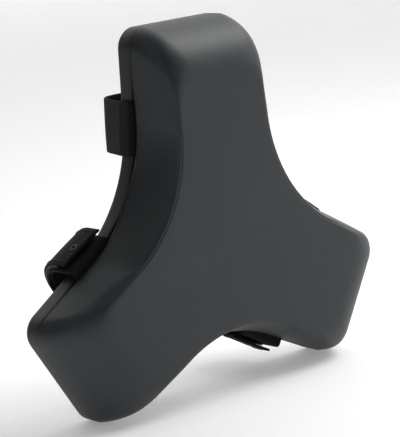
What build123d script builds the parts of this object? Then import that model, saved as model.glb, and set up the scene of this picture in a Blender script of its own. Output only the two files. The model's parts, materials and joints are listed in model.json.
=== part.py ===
"""Three-armed face cradle cushion: an upholstered pad on a base board, with a strap across each arm.

The pad is modelled lying on its back: X to the right, Y towards the end of the top arm, Z from the
back face (Z = 0) to the front of the pad. stand_up() then turns it upright for export, so that the
top arm points along +Z and the padded front faces -Y. The origin is the centre of the back face.
Millimetres throughout.
"""
from build123d import *
from math import atan, cos, pi, radians, sin, tan
import os

# Outline of the pad: three equal arms, 120 degrees apart
ARM_NAMES = ["top", "left", "right"]
ARM_TURN = 120
CROTCH_TURN = 0.5  # a crotch lies half a turn past its arm
ARM_LENGTH = 151.0  # centre of the pad to the end of an arm
ARM_HALF_WIDTH = 46.5  # at the end of an arm
ARM_TAPER = 0.054  # extra half width for each millimetre towards the centre
ARM_CORNER = 15.0
CROTCH_RADIUS = 110.0  # hollow curve that joins two arms
CORNER_LIMIT = 0.7  # largest corner, as a share of an arm's half width
CORNER_RUN = 1.2  # length of side that a corner takes up, as a share of its radius
CROTCH_LIMIT = 0.95  # share of the free side that the hollow curve may use

# Front of the pad: superelliptic sides and ends that turn over onto a nearly flat front
CREST_HEIGHT = 56.0
CREST_HALF_WIDTH = 30.0  # of the flat front, at the end of an arm
CREST_LENGTH = 121.0  # centre of the pad to the end of the flat front
SIDE_POWER = 2.3
END_POWER = 2.4
DOME_SECTIONS = 7
DOME_TOP = 0.985  # share of the crest height where the loft is closed flat

# Layers, from the back face forwards
BASE_SKIN = 1.2
BASE_BOARD = 11.0
BASE_EDGE = 2.5  # rounding of the outer back edge
STRAP_GAP = 2.4  # slot all round between base and cushion, where the straps run
SKIN = 1.4
PANEL = 9.0
SKIN_CLEARANCE = 0.2
HEM = 20.0

# Screws that join the base to the cushion: two on the axis of each arm
SCREW_PLACES = [36.0, 118.0]  # distance from the centre of the pad
SCREW_RADIUS = 3.0
SCREW_LENGTH = 20.0
SCREW_HEAD_RADIUS = 5.5
SCREW_HEAD_HEIGHT = 3.3
SCREW_HEAD_ROUND = 2.0
SOCKET_WIDTH = 4.0
SOCKET_DEPTH = 2.0
WASHER_RADIUS = 7.0
WASHER_THICKNESS = 1.2
RECESS_RADIUS = 8.0
RECESS_DEPTH = 6.0
SPACER_RADIUS = 9.0
SHANK_CLEARANCE = 0.3
NUT_BARREL_RADIUS = 3.9
NUT_BARREL_LENGTH = 7.0
NUT_FLANGE_RADIUS = 9.5
NUT_FLANGE = 1.5
NUT_CLEARANCE = 0.05

# Staples
STAPLE_CROWN = 11.0
STAPLE_WIRE = 0.6
STAPLE_WIDTH = 1.1
STAPLE_LEG = 7.0
STAPLE_INSET = 10.0  # from the edge of the pad
STAPLE_SPREAD = 24.0  # between staples in a row of three
STRAP_STAPLE_PITCH = 20.0
STRAP_STAPLE_ROW = 9.5  # from the middle of the strap, along the arm

# Straps
STRAP_WIDTH = 38.0
STRAP = 2.0
STRAP_PLACE = 84.0  # distance from the centre of the pad to the middle of a strap
STRAP_SIDE_CLEARANCE = 0.3  # between the pad's edge and the start of the strap's bend
STRAP_EXIT_BEND = 1.8
STRAP_LOOP_DEPTH = 26.0  # behind the back face, to the middle of the inner layer
STRAP_LOOP_BEND = 24.0
PATCH = 1.0
PATCH_WIDTH = 34.0
PATCH_CLEARANCE = 0.3  # between the hook patch and the loop patch
TAB_REACH = 24.0  # from the arm's axis to the end of the inner layer
TAIL_ROOT = 18.0  # from the arm's axis to the line where the tail bends open
TAIL_SPLIT = 0.3
TAIL_END = 8.0  # height of the tail's free end above the back face
PATCH_MARGIN = 2.5
THREAD = 0.5
THREAD_WIDTH = 1.0
STITCH_MARGIN = 3.0
EYELET_HOLE = 1.6
EYELET_RADIUS = 3.2
EYELET_BARREL_RADIUS = 1.92
EYELET_FLANGE = 0.5
EYELET_DROP = 6.0  # from the tail's free end to the eyelet

# Heights that follow from the layers
board_top = BASE_SKIN + BASE_BOARD
base_top = board_top + BASE_SKIN
cushion_bottom = base_top + STRAP_GAP
panel_bottom = cushion_bottom + SKIN
panel_top = panel_bottom + PANEL
strap_level = base_top + STRAP / 2
closure_pitch = STRAP + 2 * PATCH + PATCH_CLEARANCE
outer_depth = STRAP_LOOP_DEPTH + closure_pitch
tape_end = TAIL_END - EYELET_DROP - EYELET_RADIUS - PATCH_CLEARANCE
stitch_start = TAB_REACH + PATCH_MARGIN + STITCH_MARGIN


def polar(distance, sideways, angle):
    """Point at a distance along an arm's axis and sideways from it."""
    turn = radians(angle)
    return (distance * cos(turn) + sideways * sin(turn), distance * sin(turn) - sideways * cos(turn))


def half_width_at(distance):
    """Half width of an arm at the back face, with the hollow curve that widens it near the centre."""
    straight = ARM_HALF_WIDTH + ARM_TAPER * (ARM_LENGTH - distance)
    half_turn = pi / 6 - atan(ARM_TAPER)
    centre_half_width = ARM_HALF_WIDTH + ARM_TAPER * ARM_LENGTH
    curve_start = centre_half_width / (tan(pi / 3) + ARM_TAPER) + CROTCH_RADIUS * tan(half_turn)
    widening = max(0.0, curve_start - distance) ** 2 / (2 * CROTCH_RADIUS)
    return straight + widening


def arm_outline(length, half_width, taper):
    """Closed outline of three arms with rounded ends and hollow curves between them."""
    half_turn = pi / 6 - atan(taper)
    centre_half_width = half_width + taper * length
    crotch_along = centre_half_width / (tan(pi / 3) + taper)
    crotch_side = half_width + taper * (length - crotch_along)
    corner = min(ARM_CORNER, CORNER_LIMIT * half_width)
    free_side = length - crotch_along - CORNER_RUN * corner
    crotch = min(CROTCH_RADIUS, CROTCH_LIMIT * free_side / tan(half_turn))
    points = []
    radii = []
    for index in range(3):
        angle = 90 + ARM_TURN * index
        points += [polar(length, half_width, angle), polar(length, -half_width, angle)]
        points += [polar(crotch_along, -crotch_side, angle)]
        radii += [corner, corner, crotch]
    return make_face(FilletPolyline(*points, radius=radii, close=True))


def section(height, inset):
    """Outline of the pad at a height above the back face, moved inwards by an inset."""
    share = height / (CREST_HEIGHT - inset)
    side = 1 - (1 - share**SIDE_POWER) ** (1 / SIDE_POWER)
    end = 1 - (1 - share**END_POWER) ** (1 / END_POWER)
    length = ARM_LENGTH - inset - (ARM_LENGTH - CREST_LENGTH) * end
    half_width = ARM_HALF_WIDTH - inset - (ARM_HALF_WIDTH - inset - CREST_HALF_WIDTH) * side
    return Pos(0, 0, height) * arm_outline(length, half_width, ARM_TAPER * (1 - side))


def dome(bottom, inset):
    """Solid pad from a height up to the crest, moved inwards by an inset."""
    top = DOME_TOP * (CREST_HEIGHT - inset)
    heights = []
    for index in range(DOME_SECTIONS):
        heights.append(bottom + (top - bottom) * sin(pi / 2 * index / (DOME_SECTIONS - 1)))
    return loft([section(height, inset) for height in heights])


def slab(bottom, top, inset):
    """Flat layer with the outline of the pad's back face, moved inwards by an inset."""
    outline = arm_outline(ARM_LENGTH - inset, ARM_HALF_WIDTH - inset, ARM_TAPER)
    return Pos(0, 0, bottom) * extrude(outline, top - bottom)


def tube(radius, bottom, top):
    """Upright cylinder between two heights."""
    return Pos(0, 0, (bottom + top) / 2) * Cylinder(radius, top - bottom)


def on_arm(index, shape):
    """Turn a shape made on the top arm onto another arm."""
    return Rot(0, 0, ARM_TURN * index) * shape


def at_screws(shape):
    """Copies of a shape at every screw."""
    copies = []
    for index in range(len(ARM_NAMES)):
        for place in SCREW_PLACES:
            copies.append(on_arm(index, Pos(0, place, 0) * shape))
    return copies


def cut_at_screws(body, shape):
    """Body with a hole at every screw."""
    for hole in at_screws(shape):
        body -= hole
    return body


# Cushion ---------------------------------------------------------------------------------------
def cushion_cover():
    """Upholstery skin over the front and sides, turned under the panel as a hem."""
    cover = dome(cushion_bottom, 0) - dome(panel_bottom, SKIN)
    return cover - slab(cushion_bottom, panel_bottom, HEM)


def insert_panel():
    """Plywood panel that the foam is glued to, with holes for the tee nuts."""
    outline = section(panel_top, SKIN + SKIN_CLEARANCE)
    panel = Pos(0, 0, panel_bottom - panel_top) * extrude(outline, PANEL)
    barrel = tube(NUT_BARREL_RADIUS + NUT_CLEARANCE, panel_bottom, panel_top)
    flange = tube(NUT_FLANGE_RADIUS + NUT_CLEARANCE, panel_top - NUT_FLANGE, panel_top)
    return cut_at_screws(panel, barrel + flange)


def foam_core():
    """Moulded foam between the panel and the cover."""
    return dome(panel_top, SKIN + SKIN_CLEARANCE)


def tee_nut():
    """Tee nut, flush with the front of the panel."""
    flange_bottom = panel_top - NUT_FLANGE
    nut = tube(NUT_FLANGE_RADIUS, flange_bottom, panel_top)
    nut += tube(NUT_BARREL_RADIUS, flange_bottom - NUT_BARREL_LENGTH, flange_bottom)
    return nut - tube(SCREW_RADIUS + NUT_CLEARANCE, panel_bottom, panel_top)


# Base ------------------------------------------------------------------------------------------
def base_cover():
    """Skin over the back and rim of the base board, turned over its front as a hem."""
    outer = slab(0, base_top, 0)
    outer = fillet(outer.faces().sort_by(Axis.Z)[0].edges(), BASE_EDGE)
    cover = outer - base_blank() - slab(board_top, base_top, HEM)
    return cut_at_screws(cover, tube(RECESS_RADIUS, 0, BASE_SKIN))


def base_blank():
    """Base board before drilling, with its back edge rounded to suit the skin."""
    blank = slab(BASE_SKIN, board_top, BASE_SKIN)
    return fillet(blank.faces().sort_by(Axis.Z)[0].edges(), BASE_EDGE - BASE_SKIN)


def base_board():
    """Board that carries the straps, with recessed holes for the screws."""
    shank_hole = tube(SCREW_RADIUS + SHANK_CLEARANCE, 0, board_top)
    return cut_at_screws(base_blank(), shank_hole + tube(RECESS_RADIUS, 0, RECESS_DEPTH))


def spacer():
    """Ring that holds the cushion off the base, so the straps can pass between them."""
    return tube(SPACER_RADIUS, board_top, panel_bottom) - tube(SCREW_RADIUS + SHANK_CLEARANCE, 0, panel_top)


def washer():
    """Flat washer in the bottom of the recess."""
    ring = tube(WASHER_RADIUS, RECESS_DEPTH - WASHER_THICKNESS, RECESS_DEPTH)
    return ring - tube(SCREW_RADIUS + SHANK_CLEARANCE, 0, RECESS_DEPTH)


def screw():
    """Button-head screw with a hexagonal socket, put in from the back."""
    seat = RECESS_DEPTH - WASHER_THICKNESS
    head = tube(SCREW_HEAD_RADIUS, seat - SCREW_HEAD_HEIGHT, seat)
    head = fillet(head.faces().sort_by(Axis.Z)[0].edges(), SCREW_HEAD_ROUND)
    socket = extrude(RegularPolygon(SOCKET_WIDTH / 2, 6, major_radius=False), SOCKET_DEPTH)
    head -= Pos(0, 0, seat - SCREW_HEAD_HEIGHT) * socket
    return head + tube(SCREW_RADIUS, seat, seat + SCREW_LENGTH)


# Staples ---------------------------------------------------------------------------------------
def staple(crown_level, direction):
    """Staple along X with its crown against a level; legs point along +Z or -Z."""
    crown_middle = crown_level - direction * STAPLE_WIRE / 2
    wire = Pos(0, 0, crown_middle) * Box(STAPLE_CROWN, STAPLE_WIDTH, STAPLE_WIRE)
    for side in (-1, 1):
        leg_place = side * (STAPLE_CROWN - STAPLE_WIRE) / 2
        leg_middle = crown_level + direction * STAPLE_LEG / 2
        wire += Pos(leg_place, 0, leg_middle) * Box(STAPLE_WIRE, STAPLE_WIDTH, STAPLE_LEG)
    return wire


def hem_staples(one):
    """Staples along the hem: a row across each arm's end and each crotch, and one on each side."""
    crotch_corner = (ARM_HALF_WIDTH + ARM_TAPER * ARM_LENGTH) / (sin(pi / 3) + ARM_TAPER * cos(pi / 3))
    half_turn = pi / 6 - atan(ARM_TAPER)
    crotch_edge = crotch_corner + CROTCH_RADIUS * (1 / cos(half_turn) - 1)
    side_place = (STRAP_PLACE + STRAP_WIDTH / 2 + ARM_LENGTH - ARM_CORNER) / 2
    staples = []
    for index in range(len(ARM_NAMES)):
        for step in (-1, 0, 1):
            sideways = step * STAPLE_SPREAD
            end = Pos(sideways, ARM_LENGTH - STAPLE_INSET, 0) * one
            bow = CROTCH_RADIUS * (1 - cos(sideways / CROTCH_RADIUS))
            crotch = Pos(sideways, crotch_edge - STAPLE_INSET + bow, 0) * one
            staples.append(on_arm(index, end))
            staples.append(on_arm(index + CROTCH_TURN, crotch))
        for side in (-1, 1):
            edge = half_width_at(side_place) - STAPLE_INSET
            staples.append(on_arm(index, Pos(side * edge, side_place, 0) * Rot(0, 0, 90) * one))
    return staples


def strap_staples():
    """Staples that hold the middle of each strap down on the base board."""
    level = strap_level + STRAP / 2
    staples = []
    for index in range(len(ARM_NAMES)):
        for side in (-1, 1):
            for row in (-1, 1):
                place = Pos(side * STRAP_STAPLE_PITCH, STRAP_PLACE + row * STRAP_STAPLE_ROW, 0)
                staples.append(on_arm(index, place * staple(level, -1)))
    return staples


# Straps ----------------------------------------------------------------------------------------
def strap_side():
    """Distance from the arm's axis to the middle of the strap where it hangs beside the pad."""
    pad_edge = half_width_at(STRAP_PLACE - STRAP_WIDTH / 2)
    return pad_edge + STRAP_SIDE_CLEARANCE + STRAP_EXIT_BEND


def loop_bend():
    """Radius of the loop's corners, limited by the straight runs that they join."""
    flat_run = strap_side() - stitch_start - THREAD_WIDTH
    return min(STRAP_LOOP_BEND, STRAP_LOOP_DEPTH + tape_end, flat_run)


def ribbon(points, radii, thickness, width, middle=STRAP_PLACE):
    """Band of webbing whose edge follows a path across the arm; points are (sideways, height)."""
    path = FilletPolyline(*points, radius=radii) if radii else Line(*points)
    profile = Pos(0, middle + width / 2, 0) * Rot(90, 0, 0) * trace(path, thickness)
    return extrude(profile, width, dir=(0, -1, 0))


def closure_path(layer, start, end):
    """Path round the closing corner, a number of millimetres outside the inner layer."""
    side = strap_side() + layer
    points = [(start, -STRAP_LOOP_DEPTH - layer), (side, -STRAP_LOOP_DEPTH - layer), (side, end)]
    return points, [loop_bend() + layer]


def strap_run():
    """Fixed run: from the inner layer through the slot, then behind the pad to the tail."""
    side = strap_side()
    points = [(TAB_REACH, -STRAP_LOOP_DEPTH), (side, -STRAP_LOOP_DEPTH), (side, strap_level)]
    points += [(-side, strap_level), (-side, -outer_depth), (TAIL_ROOT - TAIL_SPLIT, -outer_depth)]
    radii = [loop_bend(), STRAP_EXIT_BEND, STRAP_EXIT_BEND, loop_bend() + closure_pitch]
    return ribbon(points, radii, STRAP, STRAP_WIDTH)


def eyelet_place(shape):
    """Move a shape that lies along X at the origin to the eyelet in the tail."""
    return Pos(strap_side() + closure_pitch, STRAP_PLACE, TAIL_END - EYELET_DROP) * Rot(0, 90, 0) * shape


def strap_tail():
    """Free end of the strap, with a hole for its eyelet; it peels open about its root's outer edge."""
    points, radii = closure_path(closure_pitch, TAIL_ROOT, TAIL_END)
    tail = ribbon(points, radii, STRAP, STRAP_WIDTH)
    return tail - eyelet_place(Cylinder(EYELET_BARREL_RADIUS, 2 * STRAP))


def hook_patch():
    """Hook tape on the outside of the inner layer."""
    layer = (STRAP + PATCH) / 2
    points, radii = closure_path(layer, TAB_REACH + PATCH_MARGIN, tape_end)
    return ribbon(points, radii, PATCH, PATCH_WIDTH)


def loop_patch():
    """Loop tape on the inside of the tail, ending short of the eyelet."""
    layer = closure_pitch - (STRAP + PATCH) / 2
    points, radii = closure_path(layer, TAB_REACH + PATCH_MARGIN, tape_end)
    return ribbon(points, radii, PATCH, PATCH_WIDTH)


def stitching(layer):
    """Rows of stitches along both edges of a tape, and one across its start."""
    points, radii = closure_path(layer, stitch_start, tape_end)
    rows = []
    for side in (-1, 1):
        edge = STRAP_PLACE + side * (PATCH_WIDTH / 2 - STITCH_MARGIN)
        rows.append(ribbon(points, radii, THREAD, THREAD_WIDTH, edge))
    depth = -STRAP_LOOP_DEPTH - layer
    cross_width = PATCH_WIDTH - 2 * STITCH_MARGIN - THREAD_WIDTH - 2 * THREAD
    cross_path = [(stitch_start, depth), (stitch_start + THREAD_WIDTH, depth)]
    rows.append(ribbon(cross_path, None, THREAD, cross_width))
    return rows


def eyelet():
    """Small metal eyelet through the tail."""
    barrel = Cylinder(EYELET_BARREL_RADIUS, STRAP)
    flange = Cylinder(EYELET_RADIUS, EYELET_FLANGE)
    lift = (STRAP + EYELET_FLANGE) / 2
    ring = barrel + Pos(0, 0, lift) * flange + Pos(0, 0, -lift) * flange
    return eyelet_place(ring - Cylinder(EYELET_HOLE, 4 * STRAP))


# Export ----------------------------------------------------------------------------------------
def stand_up(shape):
    """Turn the pad upright: the top arm along +Z, the front towards -Y."""
    return Rot(90, 0, 0) * shape


def write(name, *shapes):
    """Write one sub-part, which may be several separate solids."""
    upright = [stand_up(shape) for shape in shapes]
    export_step(upright[0] if len(upright) == 1 else Compound(upright), f"parts/{name}.step")


os.makedirs("parts", exist_ok=True)

write("cushion_cover", cushion_cover())
write("foam_core", foam_core())
write("insert_panel", insert_panel())
write("tee_nuts", *at_screws(tee_nut()))
write("cover_staples", *hem_staples(staple(cushion_bottom, 1)))
write("base_cover", base_cover())
write("base_board", base_board())
write("base_staples", *hem_staples(staple(base_top, -1)))
write("spacers", *at_screws(spacer()))
write("washers", *at_screws(washer()))
write("screws", *at_screws(screw()))
write("strap_staples", *strap_staples())

for number, arm in enumerate(ARM_NAMES):
    write(f"strap_{arm}", on_arm(number, strap_run()))
    write(f"strap_tail_{arm}", on_arm(number, strap_tail()))
    write(f"hook_patch_{arm}", on_arm(number, hook_patch()))
    write(f"loop_patch_{arm}", on_arm(number, loop_patch()))
    inner_rows = [on_arm(number, row) for row in stitching(-(STRAP + THREAD) / 2)]
    outer_rows = [on_arm(number, row) for row in stitching(closure_pitch + (STRAP + THREAD) / 2)]
    write(f"tab_stitching_{arm}", *inner_rows)
    write(f"tail_stitching_{arm}", *outer_rows)
    write(f"eyelet_{arm}", on_arm(number, eyelet()))

print("strap side", round(strap_side(), 2), "outer depth", round(outer_depth, 2))
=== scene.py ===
"""Three-armed face cradle cushion: skins, webbing straps, stitches and hardware dressed on the CAD frame.

Classes hold their sizes in millimetres and meshes are in metres, in the frame's own axes: +Z along the
top arm, -Y towards the padded front. A level is a distance in front of the pad's flat back.
"""
import json
import logging
import math
from dataclasses import dataclass, field, replace
from enum import Enum

import bmesh
import bpy
import numpy as np
from mathutils import Matrix, Vector

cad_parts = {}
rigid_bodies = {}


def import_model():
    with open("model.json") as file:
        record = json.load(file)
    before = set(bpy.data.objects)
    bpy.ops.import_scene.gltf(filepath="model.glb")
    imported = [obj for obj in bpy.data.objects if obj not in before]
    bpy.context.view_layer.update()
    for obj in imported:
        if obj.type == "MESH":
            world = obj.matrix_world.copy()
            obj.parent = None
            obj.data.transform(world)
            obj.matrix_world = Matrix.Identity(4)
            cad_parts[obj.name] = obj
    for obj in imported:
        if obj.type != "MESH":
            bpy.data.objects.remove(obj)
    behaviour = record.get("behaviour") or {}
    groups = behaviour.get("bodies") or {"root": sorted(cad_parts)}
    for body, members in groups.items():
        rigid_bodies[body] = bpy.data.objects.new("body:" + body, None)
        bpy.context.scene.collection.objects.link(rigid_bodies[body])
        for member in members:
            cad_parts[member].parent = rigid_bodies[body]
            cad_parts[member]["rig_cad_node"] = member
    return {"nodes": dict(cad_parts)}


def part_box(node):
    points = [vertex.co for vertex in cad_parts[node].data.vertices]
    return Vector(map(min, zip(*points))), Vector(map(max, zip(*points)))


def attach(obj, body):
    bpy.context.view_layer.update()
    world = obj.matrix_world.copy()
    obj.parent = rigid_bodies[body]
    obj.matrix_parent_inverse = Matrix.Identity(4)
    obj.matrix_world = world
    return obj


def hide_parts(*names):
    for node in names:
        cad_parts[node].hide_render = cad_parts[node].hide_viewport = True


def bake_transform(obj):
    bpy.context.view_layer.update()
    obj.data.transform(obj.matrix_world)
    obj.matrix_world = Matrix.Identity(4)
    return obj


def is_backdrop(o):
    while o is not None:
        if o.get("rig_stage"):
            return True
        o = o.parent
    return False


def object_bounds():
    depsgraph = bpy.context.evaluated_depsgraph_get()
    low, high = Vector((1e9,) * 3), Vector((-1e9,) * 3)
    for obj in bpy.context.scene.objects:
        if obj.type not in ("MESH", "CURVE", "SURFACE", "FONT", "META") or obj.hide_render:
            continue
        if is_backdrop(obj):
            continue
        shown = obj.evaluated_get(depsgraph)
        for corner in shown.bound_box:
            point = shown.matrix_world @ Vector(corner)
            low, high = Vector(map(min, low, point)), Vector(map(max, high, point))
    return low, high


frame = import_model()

MM = 0.001
SEAM_WELD = 0.05
LOG = logging.getLogger("cushion")
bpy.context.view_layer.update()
# One closed row of a surface: the X and Z of its points, and their levels
Row = tuple[np.ndarray, np.ndarray]


class Arm(Enum):
    """The three arms, with the turn from the top arm to each, in degrees about the pad's axis."""

    TOP = 0
    LEFT = 120
    RIGHT = 240

    @property
    def label(self) -> str:
        """Name of the arm as the frame's nodes spell it."""
        return self.name.lower()


class Layer(Enum):
    """Which webbing layer a row of stitches is sewn through."""

    TAB = "tab"
    TAIL = "tail"


# Numbers and meshes ------------------------------------------------------------------------------
def linear(hex_colour: str) -> tuple[float, float, float, float]:
    """Turn an sRGB hex value into linear colour.

    Args:
        hex_colour: Six hex digits, with or without a leading hash.

    Returns:
        Linear red, green and blue, and an alpha of 1.
    """
    digits = hex_colour.lstrip("#")
    srgb = np.array([int(digits[i : i + 2], 16) for i in (0, 2, 4)]) / 255
    value = np.where(srgb <= 0.04045, srgb / 12.92, ((srgb + 0.055) / 1.055) ** 2.4)
    return (float(value[0]), float(value[1]), float(value[2]), 1.0)


def arm_axes() -> np.ndarray:
    """Unit vectors along the three arms in the X, Z plane, one row each."""
    turns = np.radians(90 + 120 * np.arange(3))
    return np.stack([np.cos(turns), np.sin(turns)], axis=-1)


def turn_to_arm(points: np.ndarray, arm: Arm) -> np.ndarray:
    """Turn points made on the top arm onto another arm, about the pad's axis (Y).

    Args:
        points: Array whose last axis is X, Y, Z.
        arm: The arm to turn to.

    Returns:
        The turned points, in an array of the same shape.
    """
    angle = math.radians(arm.value)
    x, y, z = points[..., 0], points[..., 1], points[..., 2]
    turned_x = x * math.cos(angle) - z * math.sin(angle)
    turned_z = x * math.sin(angle) + z * math.cos(angle)
    return np.stack([turned_x, y, turned_z], axis=-1)


def grid_faces(rows: int, columns: int, wrap: bool) -> np.ndarray:
    """Quads of a grid of points stored row by row.

    Args:
        rows: Number of rows of points.
        columns: Number of points in a row.
        wrap: Whether the last column joins the first.

    Returns:
        Array of four vertex indices for each quad.
    """
    row, column = np.meshgrid(np.arange(rows - 1), np.arange(columns if wrap else columns - 1), indexing="ij")
    following = (column + 1) % columns
    corners = [row * columns + column, row * columns + following]
    corners += [(row + 1) * columns + following, (row + 1) * columns + column]
    return np.stack(corners, axis=-1).reshape(-1, 4)


def new_mesh(name: str, points: np.ndarray, faces: list, uv: np.ndarray | None = None) -> bpy.types.Object:
    """Make a smooth-shaded mesh object in the scene.

    Args:
        name: Name of the piece.
        points: Vertex places, one row each.
        faces: Vertex indices of each face.
        uv: Texture place of each vertex, or None.

    Returns:
        The new object, which sits at the origin.
    """
    mesh = bpy.data.meshes.new(name)
    mesh.from_pydata(points.tolist(), [], [list(map(int, face)) for face in faces])
    mesh.polygons.foreach_set("use_smooth", np.ones(len(mesh.polygons), bool))
    if uv is not None:
        corner_vertex = np.zeros(len(mesh.loops), np.int32)
        mesh.loops.foreach_get("vertex_index", corner_vertex)
        mesh.uv_layers.new(name="surface").data.foreach_set("uv", uv[corner_vertex].ravel())
    mesh.update()
    made = bpy.data.objects.new(name, mesh)
    bpy.context.scene.collection.objects.link(made)
    return made


def apply_modifiers(piece: bpy.types.Object) -> None:
    """Turn a piece's modifiers into its own mesh.

    Args:
        piece: The piece to finish.
    """
    graph = bpy.context.evaluated_depsgraph_get()
    finished = bpy.data.meshes.new_from_object(piece.evaluated_get(graph))
    piece.modifiers.clear()
    piece.data = finished


def merge_doubles(piece: bpy.types.Object, distance: float) -> None:
    """Weld vertices that lie close together and make every face point outwards.

    Args:
        piece: The piece to weld.
        distance: Vertices closer than this become one.
    """
    work = bmesh.new()
    work.from_mesh(piece.data)
    bmesh.ops.remove_doubles(work, verts=work.verts, dist=distance)
    bmesh.ops.dissolve_degenerate(work, edges=work.edges, dist=distance * 0.1)
    bmesh.ops.recalc_face_normals(work, faces=work.faces)
    work.to_mesh(piece.data)
    work.free()


def surface_of_rows(name: str, rows: list[Row]) -> bpy.types.Object:
    """Skin a stack of closed rows of points, and weld the seams where a row folds flat.

    Args:
        name: Name of the piece.
        rows: Points and levels of each row, in millimetres, all with the same number of points.

    Returns:
        The new piece.
    """
    grid = np.stack([np.stack([place[:, 0], -level, place[:, 1]], axis=-1) for place, level in rows]) * MM
    faces = list(grid_faces(*grid.shape[:2], wrap=True))
    piece = new_mesh(name, grid.reshape(-1, 3), faces)
    merge_doubles(piece, SEAM_WELD * MM)
    return piece


# Finishes ----------------------------------------------------------------------------------------
def add_node(tree: bpy.types.NodeTree, kind: str, settings: dict, inputs: dict) -> bpy.types.Node:
    """Add a shader node with its settings and links.

    Args:
        tree: Node tree to add to.
        kind: Blender's name of the node type, without the ShaderNode prefix.
        settings: Attributes to set on the node.
        inputs: Input name or number to a plain value, or to a socket to link from.

    Returns:
        The new node.
    """
    node = tree.nodes.new("ShaderNode" + kind)
    for key, value in settings.items():
        setattr(node, key, value)
    for key, value in inputs.items():
        if isinstance(value, bpy.types.NodeSocket):
            tree.links.new(value, node.inputs[key])
        else:
            node.inputs[key].default_value = value
    return node


@dataclass(frozen=True)
class Finish:
    """A surface with two tones mottled together, a fine relief and a roughness that varies a little."""

    name: str
    slot: str
    dark: str
    light: str
    roughness: float
    mottle_mm: float = 40.0
    relief_mm: float = 0.8
    relief_depth_mm: float = 0.04
    roughness_spread: float = 0.06
    metallic: float = 0.0
    ior: float = 1.5
    sheen: float = 0.0
    glow: float = 0.0

    def build(self) -> bpy.types.Material:
        """Build the material once and return it."""
        if self.name in bpy.data.materials:
            return bpy.data.materials[self.name]
        material = bpy.data.materials.new(self.name)
        material.use_nodes = True
        tree = material.node_tree
        shader = tree.nodes["Principled BSDF"]
        shader.inputs["Metallic"].default_value = self.metallic
        if not self.metallic:
            shader.inputs["IOR"].default_value = self.ior
        if self.glow:
            shader.inputs["Emission Color"].default_value = linear(self.light)
            shader.inputs["Emission Strength"].default_value = self.glow
        if self.sheen:
            shader.inputs["Sheen Weight"].default_value = self.sheen
            shader.inputs["Sheen Roughness"].default_value = 0.5
        place = add_node(tree, "TexCoord", {}, {}).outputs["Object"]
        self.wire(tree, shader, place)
        return material

    def tones(self, tree: bpy.types.NodeTree, amount: bpy.types.NodeSocket) -> bpy.types.NodeSocket:
        """Mix the dark and light tones by an amount from 0 to 1 and return the colour."""
        ends = {0: amount, 6: linear(self.dark), 7: linear(self.light)}
        return add_node(tree, "Mix", {"data_type": "RGBA"}, ends).outputs[2]

    def vary_roughness(self, tree: bpy.types.NodeTree, amount: bpy.types.NodeSocket) -> bpy.types.NodeSocket:
        """Spread the roughness about its middle value by an amount from 0 to 1."""
        low, high = self.roughness - self.roughness_spread, self.roughness + self.roughness_spread
        ends = {0: amount, 3: low, 4: high}
        return add_node(tree, "MapRange", {}, ends).outputs[0]

    def wire(self, tree: bpy.types.NodeTree, shader: bpy.types.Node, place: bpy.types.NodeSocket) -> None:
        """Link the mottled colour, the roughness and the relief.

        Args:
            tree: Node tree to add to.
            shader: The tree's surface shader.
            place: Object coordinates.
        """
        mottle_size = {"Vector": place, "Scale": 1 / (self.mottle_mm * MM), "Detail": 3.0}
        mottle = add_node(tree, "TexNoise", {}, mottle_size)
        grain_size = {"Vector": place, "Scale": 1 / (self.relief_mm * MM), "Detail": 2.0}
        grain = add_node(tree, "TexNoise", {}, grain_size)
        tree.links.new(self.tones(tree, mottle.outputs[0]), shader.inputs["Base Color"])
        tree.links.new(self.vary_roughness(tree, grain.outputs[0]), shader.inputs["Roughness"])
        relief = {"Height": grain.outputs[0], "Distance": self.relief_depth_mm * MM, "Strength": 1.0}
        tree.links.new(add_node(tree, "Bump", {}, relief).outputs[0], shader.inputs["Normal"])

    def dress(self, piece: bpy.types.Object) -> None:
        """Give a piece this finish.

        Args:
            piece: A new piece, or a CAD piece.
        """
        material = self.build()
        piece.data.materials.clear()
        piece.data.materials.append(material)


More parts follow.
